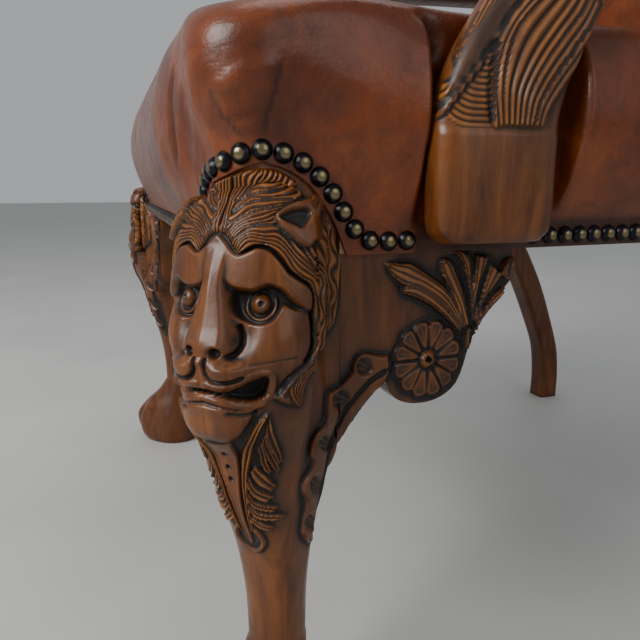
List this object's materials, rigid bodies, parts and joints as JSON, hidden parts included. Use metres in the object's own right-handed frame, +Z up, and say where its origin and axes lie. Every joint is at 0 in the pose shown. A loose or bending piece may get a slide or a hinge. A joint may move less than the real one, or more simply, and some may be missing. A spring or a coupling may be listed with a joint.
{
  "type": "open armchair",
  "caption": "Carved open armchair with lion-mask front legs, raked rear legs, overstuffed leather seat and back, padded open arms and close-set domed upholstery nails.",
  "frame": {"origin": "middle of the plan on the floor", "axes": "+Z up, -Y the way the sitter faces, +X the sitter's left"},
  "size_m": [0.7334, 0.7279, 1.0246],
  "materials": {
    "carved_wood": "satin-waxed carved mahogany, darker in the recesses and worn orange-brown on the edges",
    "frame_wood": "plain sawn hardwood, unfinished",
    "hide": "glossy antique red-brown leather with dark mottling",
    "nail_heads": "aged brass with dark rims",
    "screws": "plain steel wood screws",
    "tacks": "blued steel tacks",
    "webbing": "woven jute webbing",
    "hessian": "coarse open hessian",
    "stuffing": "felted stuffing",
    "dust_cloth": "thin black cambric"
  },
  "bodies": {
    "root": {"front_leg_left": "carved_wood", "front_leg_right": "carved_wood", "rear_leg_left": "carved_wood", "rear_leg_right": "carved_wood", "front_rail": "frame_wood", "rear_rail": "frame_wood", "side_rail_left": "frame_wood", "side_rail_right": "frame_wood", "front_bracket_left": "carved_wood", "front_bracket_right": "carved_wood", "side_bracket_left": "carved_wood", "side_bracket_right": "carved_wood", "corner_blocks": "frame_wood", "corner_screws": "screws", "seat_webbing": "webbing", "seat_hessian": "hessian", "seat_stuffing": "stuffing", "seat_cover": "hide", "seat_nails": "nail_heads", "dust_cover": "dust_cloth", "dust_cover_tacks": "tacks", "arm_support_left": "carved_wood", "arm_support_right": "carved_wood", "arm_left": "carved_wood", "arm_right": "carved_wood", "arm_support_screws": "screws", "arm_dowels": "frame_wood", "arm_screws": "screws", "arm_pad_left": "hide", "arm_pad_right": "hide", "arm_pad_nails": "nail_heads", "crest_rail": "frame_wood", "back_lower_rail": "frame_wood", "back_webbing": "webbing", "back_hessian": "hessian", "back_stuffing": "stuffing", "back_cover": "hide", "outside_back_cover": "hide", "back_nails": "nail_heads"}
  },
  "joints": []
}
